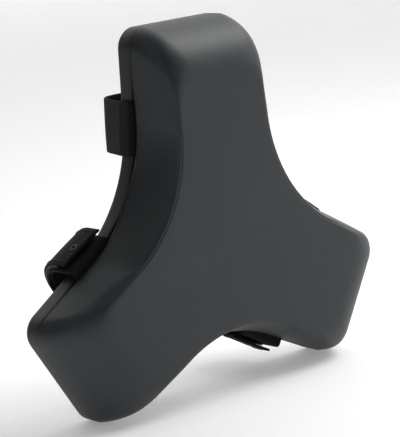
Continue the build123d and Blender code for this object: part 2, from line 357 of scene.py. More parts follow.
@dataclass(frozen=True)
class MouldedSkin(Finish):
    """Integral-skin polyurethane, moulded: a close pebble grain, soft gloss and a few air pinholes with
    painted shade in them.
    """

    pinhole_cell_mm: float = 34.0
    pinhole_mm: float = 0.9
    pinhole_share: float = 0.35
    pinhole_depth: float = 6.0
    # Near-black painted shade for the inside of the pinholes
    pinhole_tone: str = "#08090a"
    fine_share: float = 0.35

    def pinholes(self, tree: bpy.types.NodeTree, place: bpy.types.NodeSocket) -> bpy.types.NodeSocket:
        """Scatter small round pits, one to a cell, and keep only a share of them.

        Args:
            tree: Node tree to add to.
            place: Object coordinates.

        Returns:
            Depth of the pits, from 0 to 1.
        """
        cell = {"Vector": place, "Scale": 1 / (self.pinhole_cell_mm * MM), "Randomness": 1.0}
        hole = add_node(tree, "TexVoronoi", {}, cell)
        # Distance to the nearest pinhole is in cells, so a pinhole's radius is a share of a cell
        radius = self.pinhole_mm / self.pinhole_cell_mm
        fall = {0: hole.outputs["Distance"], 1: 0.3 * radius, 2: radius, 3: 1.0, 4: 0.0}
        pit = add_node(tree, "MapRange", {}, fall)
        split = add_node(tree, "SeparateColor", {}, {0: hole.outputs["Color"]})
        below = {0: split.outputs[0], 1: self.pinhole_share}
        chosen = add_node(tree, "Math", {"operation": "LESS_THAN"}, below)
        both = {0: pit.outputs[0], 1: chosen.outputs[0]}
        return add_node(tree, "Math", {"operation": "MULTIPLY"}, both).outputs[0]

    def wire(self, tree: bpy.types.NodeTree, shader: bpy.types.Node, place: bpy.types.NodeSocket) -> None:
        """Link the cloudy tone, the grain and the pinholes, sunk and darkened with painted shade.

        Args:
            tree: Node tree to add to.
            shader: The tree's surface shader.
            place: Object coordinates.
        """
        cloud_size = {"Vector": place, "Scale": 1 / (self.mottle_mm * MM), "Detail": 4.0}
        cloud = add_node(tree, "TexNoise", {}, cloud_size).outputs[0]
        cell = {"Vector": place, "Scale": 1 / (self.relief_mm * MM), "Randomness": 1.0}
        pebble = add_node(tree, "TexVoronoi", {"feature": "SMOOTH_F1"}, cell).outputs[0]
        fine_size = {"Vector": place, "Scale": 3 / (self.relief_mm * MM), "Detail": 2.0}
        fine = add_node(tree, "TexNoise", {}, fine_size).outputs[0]
        pits = self.pinholes(tree, place)
        # The pinholes are painted near black: painted shade where the pits are
        pitted = {0: pits, 6: self.tones(tree, cloud), 7: linear(self.pinhole_tone)}
        darker = add_node(tree, "Mix", {"data_type": "RGBA"}, pitted)
        tree.links.new(darker.outputs[2], shader.inputs["Base Color"])
        tree.links.new(self.vary_roughness(tree, cloud), shader.inputs["Roughness"])
        rough = {0: fine, 1: self.fine_share, 2: pebble}
        grain = add_node(tree, "Math", {"operation": "MULTIPLY_ADD"}, rough).outputs[0]
        deep = {0: pits, 1: -self.pinhole_depth, 2: grain}
        sunk = add_node(tree, "Math", {"operation": "MULTIPLY_ADD"}, deep).outputs[0]
        relief = {"Height": sunk, "Distance": self.relief_depth_mm * MM, "Strength": 1.0}
        tree.links.new(add_node(tree, "Bump", {}, relief).outputs[0], shader.inputs["Normal"])


@dataclass(frozen=True)
class Webbing(Finish):
    """Polypropylene webbing: ribs along the band crossed by weft ridges, read from the piece's own UV."""

    rib_mm: float = 1.9
    weft_mm: float = 1.3
    fuzz_mm: float = 0.4
    fuzz_share: float = 0.6

    def wire(self, tree: bpy.types.NodeTree, shader: bpy.types.Node, place: bpy.types.NodeSocket) -> None:
        """Link the woven relief and its tone, painted shade in the grooves and painted highlight on the
        ridges, coarser than the real threads so that they show.

        The weave is sin(along the band) * sin(across it), with a little fuzz added.

        Args:
            tree: Node tree to add to.
            shader: The tree's surface shader.
            place: Object coordinates.
        """
        uv = add_node(tree, "UVMap", {"uv_map": "surface"}, {}).outputs[0]
        parts = add_node(tree, "SeparateXYZ", {}, {0: uv})
        waves = []
        for socket, pitch in ((parts.outputs[0], self.weft_mm), (parts.outputs[1], self.rib_mm)):
            turns = {0: socket, 1: 2 * math.pi / (pitch * MM)}
            angle = add_node(tree, "Math", {"operation": "MULTIPLY"}, turns)
            waves.append(add_node(tree, "Math", {"operation": "SINE"}, {0: angle.outputs[0]}).outputs[0])
        woven = add_node(tree, "Math", {"operation": "MULTIPLY"}, {0: waves[0], 1: waves[1]})
        fuzz_size = {"Vector": place, "Scale": 1 / (self.fuzz_mm * MM), "Detail": 2.0}
        fuzz = add_node(tree, "TexNoise", {}, fuzz_size)
        added = {0: fuzz.outputs[0], 1: self.fuzz_share, 2: woven.outputs[0]}
        height = add_node(tree, "Math", {"operation": "MULTIPLY_ADD"}, added)
        amount = add_node(tree, "MapRange", {}, {0: height.outputs[0], 1: -1.0, 2: 1.0 + self.fuzz_share})
        # The tone follows the weave's height: painted shade in the grooves and painted highlight on the ridges
        tree.links.new(self.tones(tree, amount.outputs[0]), shader.inputs["Base Color"])
        tree.links.new(self.vary_roughness(tree, amount.outputs[0]), shader.inputs["Roughness"])
        relief = {"Height": height.outputs[0], "Distance": self.relief_depth_mm * MM, "Strength": 1.0}
        tree.links.new(add_node(tree, "Bump", {}, relief).outputs[0], shader.inputs["Normal"])


@dataclass(frozen=True)
class BirchPlywood(Finish):
    """Birch plywood: long grain on the faces and darker glue lines between the veneers on its edges."""

    veneer_mm: float = 1.5
    grain_stretch: float = 0.06
    veneer_share: float = 0.25

    def wire(self, tree: bpy.types.NodeTree, shader: bpy.types.Node, place: bpy.types.NodeSocket) -> None:
        """Link stretched grain and veneer bands across the board's thickness (Y).

        Args:
            tree: Node tree to add to.
            shader: The tree's surface shader.
            place: Object coordinates.
        """
        stretched = {"Vector": place, "Scale": (1.0, 1.0, self.grain_stretch)}
        stretch = add_node(tree, "Mapping", {}, stretched)
        grain_scale = {"Vector": stretch.outputs[0], "Scale": 1 / (self.relief_mm * MM), "Detail": 4.0}
        grain = add_node(tree, "TexNoise", {}, grain_scale)
        parts = add_node(tree, "SeparateXYZ", {}, {0: place})
        angle = {0: parts.outputs[1], 1: math.pi / (self.veneer_mm * MM)}
        wave = add_node(tree, "Math", {"operation": "MULTIPLY"}, angle)
        band = add_node(tree, "Math", {"operation": "SINE"}, {0: wave.outputs[0]})
        banded = {0: band.outputs[0], 1: self.veneer_share, 2: grain.outputs[0]}
        amount = add_node(tree, "Math", {"operation": "MULTIPLY_ADD"}, banded)
        tree.links.new(self.tones(tree, amount.outputs[0]), shader.inputs["Base Color"])
        tree.links.new(self.vary_roughness(tree, grain.outputs[0]), shader.inputs["Roughness"])
        relief = {"Height": grain.outputs[0], "Distance": self.relief_depth_mm * MM, "Strength": 1.0}
        tree.links.new(add_node(tree, "Bump", {}, relief).outputs[0], shader.inputs["Normal"])


# Integral-skin polyurethane in charcoal: moulded, so it is smooth with a faint pebble and a soft gloss
SKIN = MouldedSkin("integral_skin_polyurethane", "vinyl_skin", "#171a1c", "#2d3235", 0.50, 60.0, 0.9, 0.035)
# The base is wrapped in the same skin, several shades darker and a little duller
BASE_SKIN = MouldedSkin("wrapped_base_skin", "vinyl_skin", "#0c0d0e", "#17191b", 0.54, 45.0, 0.8, 0.03)
# Polypropylene webbing, woven and dull black; its IOR is set low because the fuzz breaks up its gloss
WEBBING = Webbing("polypropylene_webbing", "webbing", "#060707", "#151719", 0.78,
                  relief_depth_mm=0.18, ior=1.3)
# Nylon hook tape: stiff little hooks that swallow light
HOOK_TAPE = Finish("nylon_hook_tape", "hook_tape", "#0a0a0b", "#1c1d1f", 0.8, 3.0, 0.6, 0.35)
# Nylon loop tape: brushed pile with a soft sheen
LOOP_TAPE = Finish("nylon_loop_tape", "loop_tape", "#0d0d0e", "#232427", 0.9, 2.0, 0.4, 0.3, sheen=0.4)
# Bonded polyester thread, waxed, so it is lighter and a little shinier than the webbing round it
THREAD = Finish("bonded_polyester_thread", "thread", "#1c1e20", "#303337", 0.5, 1.0, 0.25, 0.05)
# Birch plywood, sanded and left bare, with pale grain and dark glue lines
PLYWOOD = BirchPlywood("birch_plywood", "plywood", "#8f6a43", "#c9a478", 0.62, 30.0, 1.0, 0.06)
# Zinc-plated steel, bright with a faint cloudy passivation
ZINC_STEEL = Finish("zinc_plated_steel", "zinc_steel", "#8d9196", "#b9bdc2", 0.32, 4.0, 0.5, 0.01,
                    metallic=1.0)
# Black-oxide steel, oiled, nearly black with a low gloss
BLACK_STEEL = Finish("black_oxide_steel", "black_steel", "#0b0c0d", "#18191b", 0.42, 3.0, 0.4, 0.01,
                     metallic=1.0)
# Moulded nylon, matt black
NYLON = Finish("moulded_nylon", "nylon", "#141415", "#1f2022", 0.5, 8.0, 0.5, 0.02)
# Studio paper: the floor gives back a little light of its own
PALE_FLOOR = Finish("pale_studio_floor", "", "#ececec", "#f4f4f4", 0.8, 400.0, 20.0, 0.0, glow=0.28)
# A white cloth lit from behind, so it is evenly bright
BACKDROP = Finish("lit_backdrop", "", "#f2f2f2", "#ffffff", 0.9, 900.0, 40.0, 0.0, glow=1.15)


# Outline shared by the cushion and the base -------------------------------------------------------
@dataclass(frozen=True)
class Outline:
    """Three arms, each tapering outwards to a rounded end, joined by hollow curves; in millimetres."""

    length: float = 151.8
    half_width: float = 46.4
    taper: float = 0.054
    hollow: float = 112.0
    corner: float = 15.0
    spine_gap: float = 0.6
    corner_points: int = 14
    hollow_points: int = 44
    end_points: int = 18
    side_points: int = 22

    def inset(self, distance: float) -> "Outline":
        """Move the outline inwards everywhere.

        Args:
            distance: How far it moves.

        Returns:
            An outline with the same number of points.
        """
        corner = max(self.corner - distance, 2.0)
        half_width = self.half_width - distance
        return replace(self, length=self.length - distance, half_width=half_width, corner=corner,
                       hollow=self.hollow + distance)

    def corners(self) -> tuple[np.ndarray, np.ndarray]:
        """Work out the outline before it is rounded.

        Returns:
            Sharp corners, three to an arm, and the radius that rounds each of them.
        """
        hollow_along = (self.half_width + self.taper * self.length) / (math.tan(math.pi / 3) + self.taper)
        hollow_side = self.half_width + self.taper * (self.length - hollow_along)
        local = [(self.length, self.half_width), (self.length, -self.half_width),
                 (hollow_along, -hollow_side)]
        along, side = np.array(local).T
        axis_x, axis_z = arm_axes().T[:, :, None]
        x = along * axis_x + side * axis_z
        z = along * axis_z - side * axis_x
        radii = np.tile([self.corner, self.corner, self.hollow], 3)
        return np.stack([x.ravel(), z.ravel()], axis=-1), radii

    def curve(self) -> np.ndarray:
        """Points round the outline: an arc at each corner, then evenly spaced points to the next arc.

        Returns:
            Array of X and Z, with the same number of points for every outline.
        """
        points, radii = self.corners()
        back = np.roll(points, 1, axis=0) - points
        ahead = np.roll(points, -1, axis=0) - points
        back /= np.linalg.norm(back, axis=1, keepdims=True)
        ahead /= np.linalg.norm(ahead, axis=1, keepdims=True)
        half_angle = np.arccos(np.clip((back * ahead).sum(axis=1), -1, 1)) / 2
        reach = (radii / np.tan(half_angle))[:, None]
        starts, ends = points + back * reach, points + ahead * reach
        middle = back + ahead
        middle /= np.linalg.norm(middle, axis=1, keepdims=True)
        centres = points + middle * (radii / np.sin(half_angle))[:, None]
        arc_counts = [self.corner_points, self.corner_points, self.hollow_points] * 3
        run_counts = [self.end_points, self.side_points, self.side_points] * 3
        pieces = []
        for index in range(len(points)):
            first, last = starts[index] - centres[index], ends[index] - centres[index]
            first_angle = math.atan2(first[1], first[0])
            sweep = (math.atan2(last[1], last[0]) - first_angle + math.pi) % (2 * math.pi) - math.pi
            angles = first_angle + sweep * np.linspace(0, 1, arc_counts[index])
            arc = centres[index] + radii[index] * np.stack([np.cos(angles), np.sin(angles)], axis=-1)
            share = np.linspace(0, 1, run_counts[index] + 2)[1:-1, None]
            run = ends[index] + (starts[(index + 1) % len(points)] - ends[index]) * share
            pieces += [arc, run]
        return np.concatenate(pieces)

    @staticmethod
    def along(points: np.ndarray) -> np.ndarray:
        """Distance of each point along the arm that it is nearest to."""
        return (points @ arm_axes().T).max(axis=-1)

    def spine(self, points: np.ndarray) -> np.ndarray:
        """Find where each outline point meets the line down the middle of its arm.

        The hollow's middle goes to the pad's centre, and the end's middle stops short of the end by a
        share of the half width, so that the surface closes along three lines.

        Args:
            points: Outline points.

        Returns:
            Matching points on the three lines.
        """
        axes = arm_axes()
        distances = points @ axes.T
        nearest = distances.argmax(axis=-1)
        reach = distances.max(axis=-1)
        least = reach.min()
        most = self.length - self.spine_gap * self.half_width
        place = np.clip((reach - least) * most / (most - least), 0, most)
        return axes[nearest] * place[:, None]


@dataclass(frozen=True)
class Rim:
    """Where cushion and base meet: flush at the arms' ends, and held apart where the straps pass."""

    level: float = 14.4
    shut: float = 0.12
    opened: float = 2.4
    strap_place: float = 82.0
    strap_reach: float = 30.0
    steepness: float = 8.0
    shut_round: float = 0.25
    open_round: float = 1.6
    probe: float = 2.0

    def openness(self, points: np.ndarray) -> np.ndarray:
        """How far the slot is open at each outline point: 1 / (1 + |distance| ** steepness)."""
        share = (Outline.along(points) - self.strap_place) / self.strap_reach
        return 1 / (1 + np.abs(share) ** self.steepness)

    def opening(self, points: np.ndarray) -> np.ndarray:
        """Width of the slot at each outline point, in millimetres."""
        return self.shut + (self.opened - self.shut) * self.openness(points)

    def rounding(self, points: np.ndarray) -> np.ndarray:
        """Radius of the two edges that face each other across the slot, in millimetres."""
        return self.shut_round + (self.open_round - self.shut_round) * self.openness(points)


def edge_roll(outline: Outline, rim: Rim, side: float, steps: int = 5) -> list[Row]:
    """Rows that roll an edge over from the slot to the outer wall.

    Args:
        outline: Outline of the wall.
        rim: Where the slot is and how its edges are rounded.
        side: 1 for the cushion's edge, in front of the slot, and -1 for the base's.
        steps: Number of rows.

    Returns:
        Outline points and levels of each row, starting inside the slot.
    """
    outer = outline.curve()
    inward = (outline.inset(rim.probe).curve() - outer) / rim.probe
    radius = rim.rounding(outer)
    level = rim.level + side * rim.opening(outer) / 2
    rows = []
    for angle in np.linspace(0, math.pi / 2, steps):
        inset = radius * (1 - math.sin(angle))
        rows.append((outer + inward * inset[:, None], level + side * radius * (1 - math.cos(angle))))
    return rows


@dataclass(frozen=True)
class Shoulder:
    """How the pad's wall turns over onto its front: exponents of a superellipse, and the wall's lean."""

    across: float
    rise: float
    lean: float
    bead: float

    def mixed(self, other: "Shoulder", amount: np.ndarray) -> list[np.ndarray]:
        """Blend this shoulder into another.

        Args:
            other: The shoulder to blend into.
            amount: Share of the other shoulder at each outline point.

        Returns:
            Each of the four values, at each outline point.
        """
        mine = (self.across, self.rise, self.lean, self.bead)
        theirs = (other.across, other.rise, other.lean, other.bead)
        return [first + (second - first) * amount for first, second in zip(mine, theirs)]


@dataclass(frozen=True)
class Bead:
    """A low bead where the wall is steep, with a hollow in front of it; slopes are in degrees."""

    crest_slope: float = 48.0
    crest_spread: float = 13.0
    hollow_slope: float = 22.0
    hollow_spread: float = 6.0
    hollow_share: float = 0.55

    def height(self, slope: np.ndarray) -> np.ndarray:
        """Height of the bead at each slope: one bell curve less a smaller one."""
        crest = np.exp(-(((slope - self.crest_slope) / self.crest_spread) ** 2))
        return crest - self.hollow_share * np.exp(-(((slope - self.hollow_slope) / self.hollow_spread) ** 2))


@dataclass
class Cushion:
    """The padded front: steep walls, a firm shoulder along the arms' sides and a soft one at their ends."""

    foot: Outline = field(default_factory=Outline)
    crest: Outline = Outline(114.0, 35.5, 0.06, 105.0, 19.0)
    height: float = 51.8
    end_drop: float = 0.014
    end_power: float = 2.0
    side_shoulder: Shoulder = Shoulder(2.2, 3.2, 7.0, 0.6)
    end_shoulder: Shoulder = Shoulder(2.3, 2.1, 0.0, 0.0)
    bead: Bead = Bead()
    rim: Rim = Rim()
    hem: float = 20.0
    underside_rise: float = 2.6
    wall_start: float = 0.4
    least_rise: float = 0.02
    end_facing: tuple[float, float] = (0.55, 0.95)
    end_window: int = 17
    wall_rows: int = 60
    underside_rows: int = 6
    crown_rows: int = 7

    def thickness(self, points: np.ndarray) -> np.ndarray:
        """Crest height over each point: it falls away from the centre by a power of the distance."""
        share = np.linalg.norm(points, axis=-1) / self.foot.length
        return self.height * (1 - self.end_drop * share**self.end_power)

    def endness(self, outline: np.ndarray) -> np.ndarray:
        """Find how far each outline point belongs to an arm's end.

        It follows how squarely the outline faces along the arm, smoothed by a bell-shaped window.

        Args:
            outline: Outline points in order.

        Returns:
            0 on the sides to 1 across the end.
        """
        heading = np.roll(outline, -1, axis=0) - np.roll(outline, 1, axis=0)
        outward = np.stack([heading[:, 1], -heading[:, 0]], axis=-1)
        outward /= np.linalg.norm(outward, axis=1, keepdims=True)
        axes = arm_axes()
        nearest = axes[(outline @ axes.T).argmax(axis=1)]
        low, high = self.end_facing
        facing = np.clip((np.abs((outward * nearest).sum(axis=1)) - low) / (high - low), 0, 1)
        soft = facing * facing * (3 - 2 * facing)
        window = np.hanning(self.end_window)
        half = self.end_window // 2
        padded = np.concatenate([soft[-half:], soft, soft[:half]])
        return np.convolve(padded, window / window.sum(), mode="valid")

    def wall(self, foot: np.ndarray, crest: np.ndarray, start: np.ndarray) -> list[Row]:
        """Make rows from the rolled edge up the wall, over the shoulder and onto the front.

        With x the share of the way left to the crest and r the share of the height, each profile is
        x**across + r**rise = 1, leaning inwards as it rises, with a low bead where it turns over.

        Args:
            foot: Outline points at the foot of the wall.
            crest: Matching points on the crest.
            start: Level of the first row at each point.

        Returns:
            Points and levels of each row.
        """
        across, rise, lean, bead = self.side_shoulder.mixed(self.end_shoulder, self.endness(foot))
        inward = crest - foot
        reach = np.linalg.norm(inward, axis=1)
        inward = inward / reach[:, None]
        settle = start / self.thickness(foot)
        first = np.arcsin(np.clip(settle, 0, 1) ** (rise / 2))
        share = np.linspace(0, 1, self.wall_rows)[:, None] ** 2
        angle = first + (math.pi / 2 - first) * share
        left = np.cos(angle) ** (2 / across)
        lifted = np.sin(angle) ** (2 / rise)
        inset = (1 - left) * reach + lean * left * (lifted - settle) / (1 - settle)
        inset -= inset[:1] * (1 - share)
        place = foot[None] + inward[None] * inset[..., None]
        level = np.maximum(self.thickness(place) * lifted, start + self.least_rise)
        run = np.maximum(np.gradient(inset, axis=0), 1e-4)
        slant = np.arctan2(np.gradient(level, axis=0), run)
        raised = bead * self.bead.height(np.degrees(slant))
        place = place - inward[None] * (raised * np.sin(slant))[..., None]
        level = level + raised * np.cos(slant)
        return list(zip(place, level))

    def rows(self) -> list[Row]:
        """Work out the closed pad row by row: underside, hem, rolled edge, wall, shoulder and crown."""
        foot, crest = self.foot.curve(), self.crest.curve()
        rim_level = self.rim.level + self.rim.opening(foot) / 2
        hem = self.foot.inset(self.hem)
        under, lip = hem.curve(), self.foot.inset(self.rim.open_round).curve()
        spine = hem.spine(under)
        underside = np.full(len(foot), self.rim.level + self.underside_rise)
        shares = np.linspace(0, 1, self.underside_rows)
        rows = [(spine + (under - spine) * share, underside) for share in shares]
        rows += [(under + (lip - under) * share, rim_level) for share in (0.0, 0.4, 0.75)]
        rows += edge_roll(self.foot, self.rim, 1.0)
        rows += self.wall(foot, crest, rows[-1][1] + self.wall_start)
        ridge = self.crest.spine(crest)
        for share in np.linspace(0, 1, self.crown_rows + 1)[1:]:
            place = crest + (ridge - crest) * share
            rows.append((place, self.thickness(place)))
        return rows

    def build(self) -> None:
        piece = surface_of_rows("cushion_pad", self.rows())
        SKIN.dress(piece)
        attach(piece, "pad")
        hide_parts("cushion_cover", "foam_core")
        LOG.info("cushion: %d faces", len(piece.data.polygons))


@dataclass
class Base:
    """The flat layer behind the cushion: a skin wrapped round a board, turned in at the front."""

    edge: Outline = field(default_factory=Outline)
    rim: Rim = Rim()
    back_round: float = 2.6
    back_rows: int = 6
    hem: float = 20.0
    hem_step: float = 2.0
    skin: float = 1.2
    recess_radius: float = 8.0
    recess_places: tuple[float, ...] = (36.0, 118.0)
    cutter_depth: float = 6.0
    cutter_sides: int = 48

    def rows(self) -> list[Row]:
        """Work out the base's outer surface row by row: back, rounded rim and the hem at the front."""
        outer = self.edge.curve()
        flat = np.zeros(len(outer))
        hem = self.edge.inset(self.hem)
        under, spine = hem.curve(), hem.spine(hem.curve())
        rows = [(spine + (under - spine) * share, flat) for share in np.linspace(0, 1, self.back_rows)]
        rows.append((self.edge.inset(self.back_round * 2).curve(), flat))
        for angle in np.linspace(0, math.pi / 2, self.back_rows):
            inset = self.back_round * (1 - math.sin(angle))
            level = flat + self.back_round * (1 - math.cos(angle))
            rows.append((self.edge.inset(inset).curve(), level))
        rolled = edge_roll(self.edge, self.rim, -1.0)[::-1]
        top = rolled[0][1] - self.back_round
        rows += [(outer, self.back_round + top * share) for share in (0.3, 0.65)]
        rows += rolled
        rows.append((self.edge.inset(self.rim.open_round + self.hem_step).curve(), rolled[-1][1]))
        rows.append((under, rolled[-1][1]))
        return rows

    def cutter(self, arm: Arm, distance: float) -> bpy.types.Object:
        """Make a short cylinder through the back over one screw.

        Args:
            arm: The arm that the screw is on.
            distance: Its place along the arm.

        Returns:
            The cylinder.
        """
        place = turn_to_arm(np.array([0.0, 0.0, distance * MM]), arm)
        bpy.ops.mesh.primitive_cylinder_add(
            vertices=self.cutter_sides, radius=self.recess_radius * MM, depth=self.cutter_depth * MM,
            location=place.tolist(), rotation=(math.pi / 2, 0, 0))
        return bpy.context.object

    def build(self) -> None:
        """Build the base's skin, give it a thickness and cut a hole over each screw's recess."""
        piece = surface_of_rows("base_skin", self.rows())
        shell = piece.modifiers.new("skin_thickness", "SOLIDIFY")
        shell.thickness, shell.offset = self.skin * MM, -1.0
        apply_modifiers(piece)
        cutters = [self.cutter(arm, distance) for arm in Arm for distance in self.recess_places]
        for cutter in cutters:
            cut = piece.modifiers.new("recess", "BOOLEAN")
            cut.object, cut.solver = cutter, "EXACT"
        apply_modifiers(piece)
        for cutter in cutters:
            bpy.data.objects.remove(cutter)
        BASE_SKIN.dress(piece)
        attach(piece, "pad")
        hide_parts("base_cover")
        LOG.info("base skin: %d faces", len(piece.data.polygons))


# Straps ------------------------------------------------------------------------------------------
def round_path(corners: np.ndarray, radii: np.ndarray, spacing: float) -> np.ndarray:
    """Open path with an arc at each inner corner, in points a set distance apart.

    Args:
        corners: Corner points, one row each, in millimetres.
        radii: Radius at each inner corner.
        spacing: Distance between points.

    Returns:
        Points along the path.
    """
    pieces = [corners[:1]]
    for index in range(1, len(corners) - 1):
        here = corners[index]
        back = corners[index - 1] - here
        ahead = corners[index + 1] - here
        back, ahead = back / np.linalg.norm(back), ahead / np.linalg.norm(ahead)
        half_angle = math.acos(float(np.clip(back @ ahead, -1, 1))) / 2
        reach = radii[index - 1] / math.tan(half_angle)
        middle = (back + ahead) / np.linalg.norm(back + ahead)
        centre = here + middle * radii[index - 1] / math.sin(half_angle)
        first, last = here + back * reach - centre, here + ahead * reach - centre
        first_angle = math.atan2(first[1], first[0])
        sweep = (math.atan2(last[1], last[0]) - first_angle + math.pi) % (2 * math.pi) - math.pi
        angles = first_angle + sweep * np.linspace(0, 1, max(6, int(abs(sweep) * radii[index - 1])))
        pieces.append(centre + radii[index - 1] * np.stack([np.cos(angles), np.sin(angles)], axis=-1))
    pieces.append(corners[-1:])
    dense = np.concatenate(pieces)
    distance = running_length(dense)
    even = np.linspace(0, distance[-1], max(4, int(distance[-1] / spacing)))
    return np.stack([np.interp(even, distance, dense[:, k]) for k in range(2)], axis=-1)


def running_length(path: np.ndarray) -> np.ndarray:
    """Length of a path up to each of its points."""
    return np.concatenate([[0], np.cumsum(np.linalg.norm(np.diff(path, axis=0), axis=1))])


def path_normals(path: np.ndarray) -> np.ndarray:
    """Unit normal at each point of a path, to the right of the way it runs.

    Args:
        path: Points of the path, one row each.

    Returns:
        The normals, one row each.
    """
    heading = np.gradient(path, axis=0)
    heading /= np.linalg.norm(heading, axis=1, keepdims=True)
    return np.stack([heading[:, 1], -heading[:, 0]], axis=-1)


def band_section(width: float, thickness: float, across: int = 15) -> tuple[np.ndarray, np.ndarray]:
    """Work out the closed section of webbing: flat faces and softly rounded selvedges.

    Args:
        width: Width of the band.
        thickness: Thickness of the band.
        across: Points over each flat face.

    Returns:
        Sideways place and height above the middle of each point round the section.
    """
    selvedge = thickness * 0.45
    flat = width / 2 - selvedge
    face, level = np.linspace(-flat, flat, across), np.full(across, thickness / 2)
    turn = np.linspace(-math.pi / 2, math.pi / 2, 7)[1:-1]
    edge_side, edge_rise = flat + selvedge * np.cos(turn), thickness / 2 * np.sin(turn)
    side = np.concatenate([face, edge_side, face[::-1], -edge_side])
    rise = np.concatenate([-level, edge_rise, level, -edge_rise])
    return side, rise


@dataclass(frozen=True)
class Stitch:
    """One stitch of bonded thread, rounded, thin at its ends and sunk into the webbing there."""

    pitch: float = 3.0
    length: float = 2.2
    radius: float = 0.38
    proud: float = 0.15
    look_ahead: float = 0.4
    sides: int = 6
    along: tuple[float, ...] = (-0.5, -0.42, -0.2, 0.2, 0.42, 0.5)
    swell: tuple[float, ...] = (0.02, 0.75, 1.0, 1.0, 0.75, 0.02)
    sink: tuple[float, ...] = (-0.35, -0.1, 0.05, 0.05, -0.1, -0.35)

    def places(self, row: np.ndarray) -> tuple[np.ndarray, np.ndarray]:
        """Space the stitches out along a row.

        Args:
            row: Points of the row.

        Returns:
            Middle and heading of each stitch.
        """
        distance = running_length(row)
        centres = np.arange(self.pitch / 2, distance[-1], self.pitch)
        ahead = centres + self.look_ahead
        where = np.stack([np.interp(centres, distance, row[:, axis]) for axis in range(3)], axis=-1)
        heading = np.stack([np.interp(ahead, distance, row[:, axis]) for axis in range(3)], axis=-1) - where
        heading /= np.maximum(np.linalg.norm(heading, axis=1, keepdims=True), 1e-9)
        return where, heading

    def rings(self, where: np.ndarray, heading: np.ndarray, outward: np.ndarray) -> np.ndarray:
        """Work out the rings of every stitch at once.

        A ring's point is middle + heading * along + outward * (sink + radius * sin) + sideways * radius * cos.

        Args:
            where: Middle of each stitch.
            heading: The way each stitch runs.
            outward: The way out of the webbing at each stitch.

        Returns:
            Array over stitches, rings, points round a ring, and the three axes.
        """
        turn = np.linspace(0, 2 * math.pi, self.sides, endpoint=False)
        radius = np.array(self.swell)[:, None] * self.radius
        along = (np.array(self.along) * self.length)[None, :, None, None]
        sink = (np.array(self.sink) + self.proud)[None, :, None, None]
        rise = (radius * np.sin(turn))[None, :, :, None]
        across = (radius * np.cos(turn))[None, :, :, None]
        where, heading, outward = where[:, None, None], heading[:, None, None], outward[:, None, None]
        return where + heading * along + outward * (sink + rise) + np.cross(heading, outward) * across


# How far each loop's free corner sags inwards; the right one is the slackest
SAG = {Arm.TOP: 8.0, Arm.LEFT: 8.0, Arm.RIGHT: 22.0}


